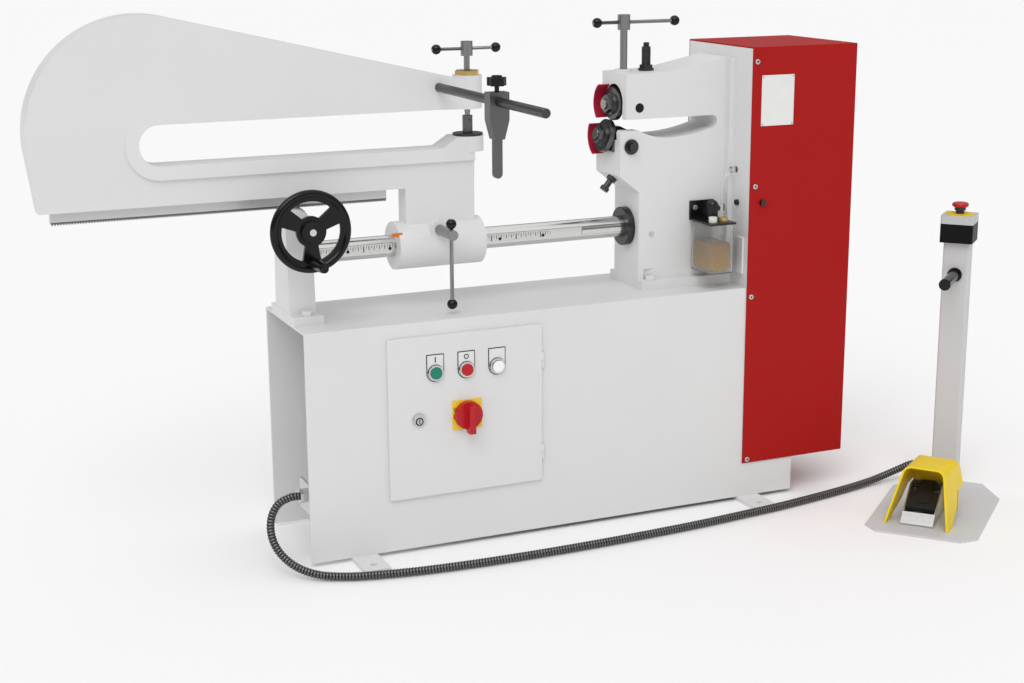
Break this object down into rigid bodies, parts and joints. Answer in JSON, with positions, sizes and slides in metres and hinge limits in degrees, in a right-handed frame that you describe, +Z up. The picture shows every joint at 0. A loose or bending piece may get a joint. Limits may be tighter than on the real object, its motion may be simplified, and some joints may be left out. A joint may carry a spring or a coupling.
{
  "type": "circular shear",
  "caption": "Motor-driven circular shear: cutter head and clamping carriage on a sheet cabinet, with a foot switch on a separate pedestal joined by conduit.",
  "frame": {"origin": "centre of the four floor anchor holes, at floor level", "axes": "+X right along the cabinet towards the drive cover, +Y away from the operator, +Z up"},
  "size_m": [1.8033, 0.6927, 0.974],
  "materials": {
    "casting_paint": "satin",
    "cabinet_paint": "satin",
    "panel_paint": "satin",
    "cover_paint": "satin",
    "ground_steel": "ground",
    "cutter_steel": "ground",
    "plated_steel": "bright",
    "dark_steel": "oiled",
    "fastener_steel": "blackened",
    "gear_steel": "machined",
    "bracket_iron": "rough",
    "motor_paint": "satin",
    "brass": "turned",
    "black_plastic": "smooth",
    "bottle_clear": "clear",
    "tube_plastic": "smooth",
    "guard_paint": "satin",
    "conduit_plastic": "ribbed",
    "pedestal_paint": "satin",
    "stop_box_plastic": "satin",
    "guard_yellow": "moulded",
    "pedal_metal": "cast",
    "treadle_black": "moulded",
    "signal_red": "smooth",
    "signal_green": "smooth",
    "device_plastic": "smooth"
  },
  "bodies": {
    "frame": {"cabinet": "cabinet_paint", "foot_bars": "cabinet_paint", "control_box": "panel_paint", "hinge_leaves": "fastener_steel", "left_post": "casting_paint", "slide_bar": "ground_steel", "bar_flange": "dark_steel", "head_frame": "casting_paint", "lower_bearing_block": "ground_steel", "base_bolts": "fastener_steel", "adjusting_screws": "fastener_steel", "rear_bracket": "bracket_iron", "gear_motor": "motor_paint", "back_panel": "panel_paint", "drive_cover": "cover_paint", "oil_pump": "black_plastic", "oil_bottle": "bottle_clear", "oil_tube": "tube_plastic", "cutter_guards": "guard_paint", "conduit_glands": "conduit_plastic", "conduit": "conduit_plastic", "pedestal": "pedestal_paint", "estop_box": "stop_box_plastic", "carry_grip": "black_plastic", "pedal_guard": "guard_yellow", "pedal_base": "pedal_metal"},
    "carriage": {"carriage_arm": "casting_paint", "rack": "dark_steel", "clamp_nut": "brass", "stop_rod": "dark_steel"},
    "clamp_pad": {"clamp_pad": "plated_steel"},
    "clamp_screw": {"clamp_screw": "plated_steel"},
    "clamp_bar": {"clamp_bar": "plated_steel"},
    "anvil": {"anvil": "dark_steel"},
    "stop_block": {"stop_block": "dark_steel"},
    "stop_knob": {"stop_knob": "black_plastic"},
    "lock_screw": {"lock_screw": "plated_steel"},
    "lock_bar": {"lock_bar": "plated_steel"},
    "handwheel": {"handwheel": "black_plastic", "pinion_shaft": "ground_steel"},
    "crank_grip": {"crank_grip": "black_plastic"},
    "upper_head": {"upper_bearings": "ground_steel"},
    "upper_spindle": {"upper_spindle": "ground_steel", "upper_gear": "gear_steel", "upper_cutter": "cutter_steel"},
    "lower_spindle": {"lower_spindle": "ground_steel", "lower_cutter": "cutter_steel"},
    "drive_shaft": {"drive_shaft": "ground_steel", "drive_gear": "gear_steel"},
    "feed_pad": {"feed_pad": "plated_steel"},
    "feed_screw": {"feed_screw": "plated_steel"},
    "feed_bar": {"feed_bar": "plated_steel"},
    "door": {"control_door": "cabinet_paint", "door_devices": "device_plastic"},
    "start_button": {"start_button": "signal_green"},
    "stop_button": {"stop_button": "signal_red"},
    "door_lock": {"door_lock": "black_plastic"},
    "switch_handle": {"switch_handle": "signal_red"},
    "treadle": {"treadle": "treadle_black"},
    "estop_button": {"estop_button": "signal_red"}
  },
  "joints": [
    {"name": "carriage_slide", "type": "slide", "parent": "frame", "child": "carriage", "axis": [1, 0, 0], "range_m": [-0.14, 0.15]},
    {"name": "handwheel_spin", "type": "hinge", "parent": "frame", "child": "handwheel", "pos_m": [-0.475, -0.098, 0.6045], "axis": [0, 1, 0], "range_deg": [-298, 319]},
    {"name": "crank_grip_spin", "type": "hinge", "parent": "handwheel", "child": "crank_grip", "pos_m": [-0.475, -0.13, 0.552], "axis": [0, 1, 0], "continuous": true},
    {"name": "lock_screw_turn", "type": "hinge", "parent": "carriage", "child": "lock_screw", "pos_m": [-0.211, -0.06, 0.576], "axis": [0, -1, 0], "range_deg": [-10, 75]},
    {"name": "lock_bar_slide", "type": "slide", "parent": "lock_screw", "child": "lock_bar", "axis": [0, 0, 1], "range_m": [0, 0.107]},
    {"name": "clamp_feed", "type": "slide", "parent": "carriage", "child": "clamp_pad", "axis": [0, 0, 1], "range_m": [0, 0.02]},
    {"name": "clamp_screw_spin", "type": "hinge", "parent": "clamp_pad", "child": "clamp_screw", "pos_m": [-0.138, 0.01, 0.85], "axis": [0, 0, 1], "range_deg": [0, 2390]},
    {"name": "clamp_bar_slide", "type": "slide", "parent": "clamp_screw", "child": "clamp_bar", "axis": [1, 0, 0], "range_m": [-0.036, 0.037]},
    {"name": "anvil_spin", "type": "hinge", "parent": "carriage", "child": "anvil", "pos_m": [-0.138, 0.01, 0.742], "axis": [0, 0, 1], "continuous": true},
    {"name": "stop_block_slide", "type": "slide", "parent": "carriage", "child": "stop_block", "axis": [0, 1, 0], "range_m": [-0.17, 0.235]},
    {"name": "stop_knob_turn", "type": "hinge", "parent": "stop_block", "child": "stop_knob", "pos_m": [-0.203, -0.278, 0.86], "axis": [0, 0, 1], "range_deg": [-180, 180]},
    {"name": "upper_tilt", "type": "hinge", "parent": "frame", "child": "upper_head", "pos_m": [0.48, 0.01, 0.782], "axis": [0, 1, 0], "range_deg": [0, 0.9]},
    {"name": "upper_spindle_spin", "type": "hinge", "parent": "upper_head", "child": "upper_spindle", "pos_m": [0.3, 0.01, 0.782], "axis": [1, 0, 0], "continuous": true},
    {"name": "drive_shaft_spin", "type": "hinge", "parent": "frame", "child": "drive_shaft", "pos_m": [0.5, 0.01, 0.72], "axis": [1, 0, 0], "continuous": true},
    {"name": "lower_spindle_spin", "type": "hinge", "parent": "frame", "child": "lower_spindle", "pos_m": [0.1476, 0.01, 0.72107], "axis": [0.9659, 0, -0.2588], "continuous": true},
    {"name": "feed_slide", "type": "slide", "parent": "frame", "child": "feed_pad", "axis": [0, 0, 1], "range_m": [0, 0.0048]},
    {"name": "feed_screw_spin", "type": "hinge", "parent": "feed_pad", "child": "feed_screw", "pos_m": [0.181, 0.01, 0.85], "axis": [0, 0, 1], "range_deg": [0, 560]},
    {"name": "feed_bar_slide", "type": "slide", "parent": "feed_screw", "child": "feed_bar", "axis": [1, 0, 0], "range_m": [-0.085, 0.033]},
    {"name": "door_hinge", "type": "hinge", "parent": "frame", "child": "door", "pos_m": [-0.0477, -0.1213, 0.255], "axis": [0, 0, 1], "range_deg": [0, 110]},
    {"name": "start_press", "type": "slide", "parent": "door", "child": "start_button", "axis": [0, 1, 0], "range_m": [0, 0.004], "stiffness_N_per_m": 400},
    {"name": "stop_press", "type": "slide", "parent": "door", "child": "stop_button", "axis": [0, 1, 0], "range_m": [0, 0.004], "stiffness_N_per_m": 400},
    {"name": "door_lock_turn", "type": "hinge", "parent": "door", "child": "door_lock", "pos_m": [-0.294, -0.12, 0.252], "axis": [0, 1, 0], "range_deg": [0, 90]},
    {"name": "main_switch_turn", "type": "hinge", "parent": "door", "child": "switch_handle", "pos_m": [-0.201, -0.12, 0.252], "axis": [0, 1, 0], "range_deg": [0, 90]},
    {"name": "treadle_press", "type": "hinge", "parent": "frame", "child": "treadle", "pos_m": [0.67003, -0.33509, 0.054], "axis": [0.6691, -0.7431, 0], "range_deg": [0, 8], "stiffness_Nm_per_rad": 4, "springref_deg": -8.59},
    {"name": "estop_press", "type": "slide", "parent": "frame", "child": "estop_button", "axis": [0, 0, -1], "range_m": [0, 0.006]}
  ],
  "couplings": [
    {"joint": "handwheel_spin", "follows": "carriage_slide", "rad_per_m": 37.037},
    {"joint": "clamp_feed", "follows": "clamp_screw_spin", "m_per_rad": 0.00047746},
    {"joint": "feed_slide", "follows": "feed_screw_spin", "m_per_rad": 0.00047746},
    {"joint": "upper_tilt", "follows": "feed_screw_spin", "ratio": 0.0015969},
    {"joint": "drive_shaft_spin", "follows": "upper_spindle_spin", "ratio": -1.48}
  ]
}
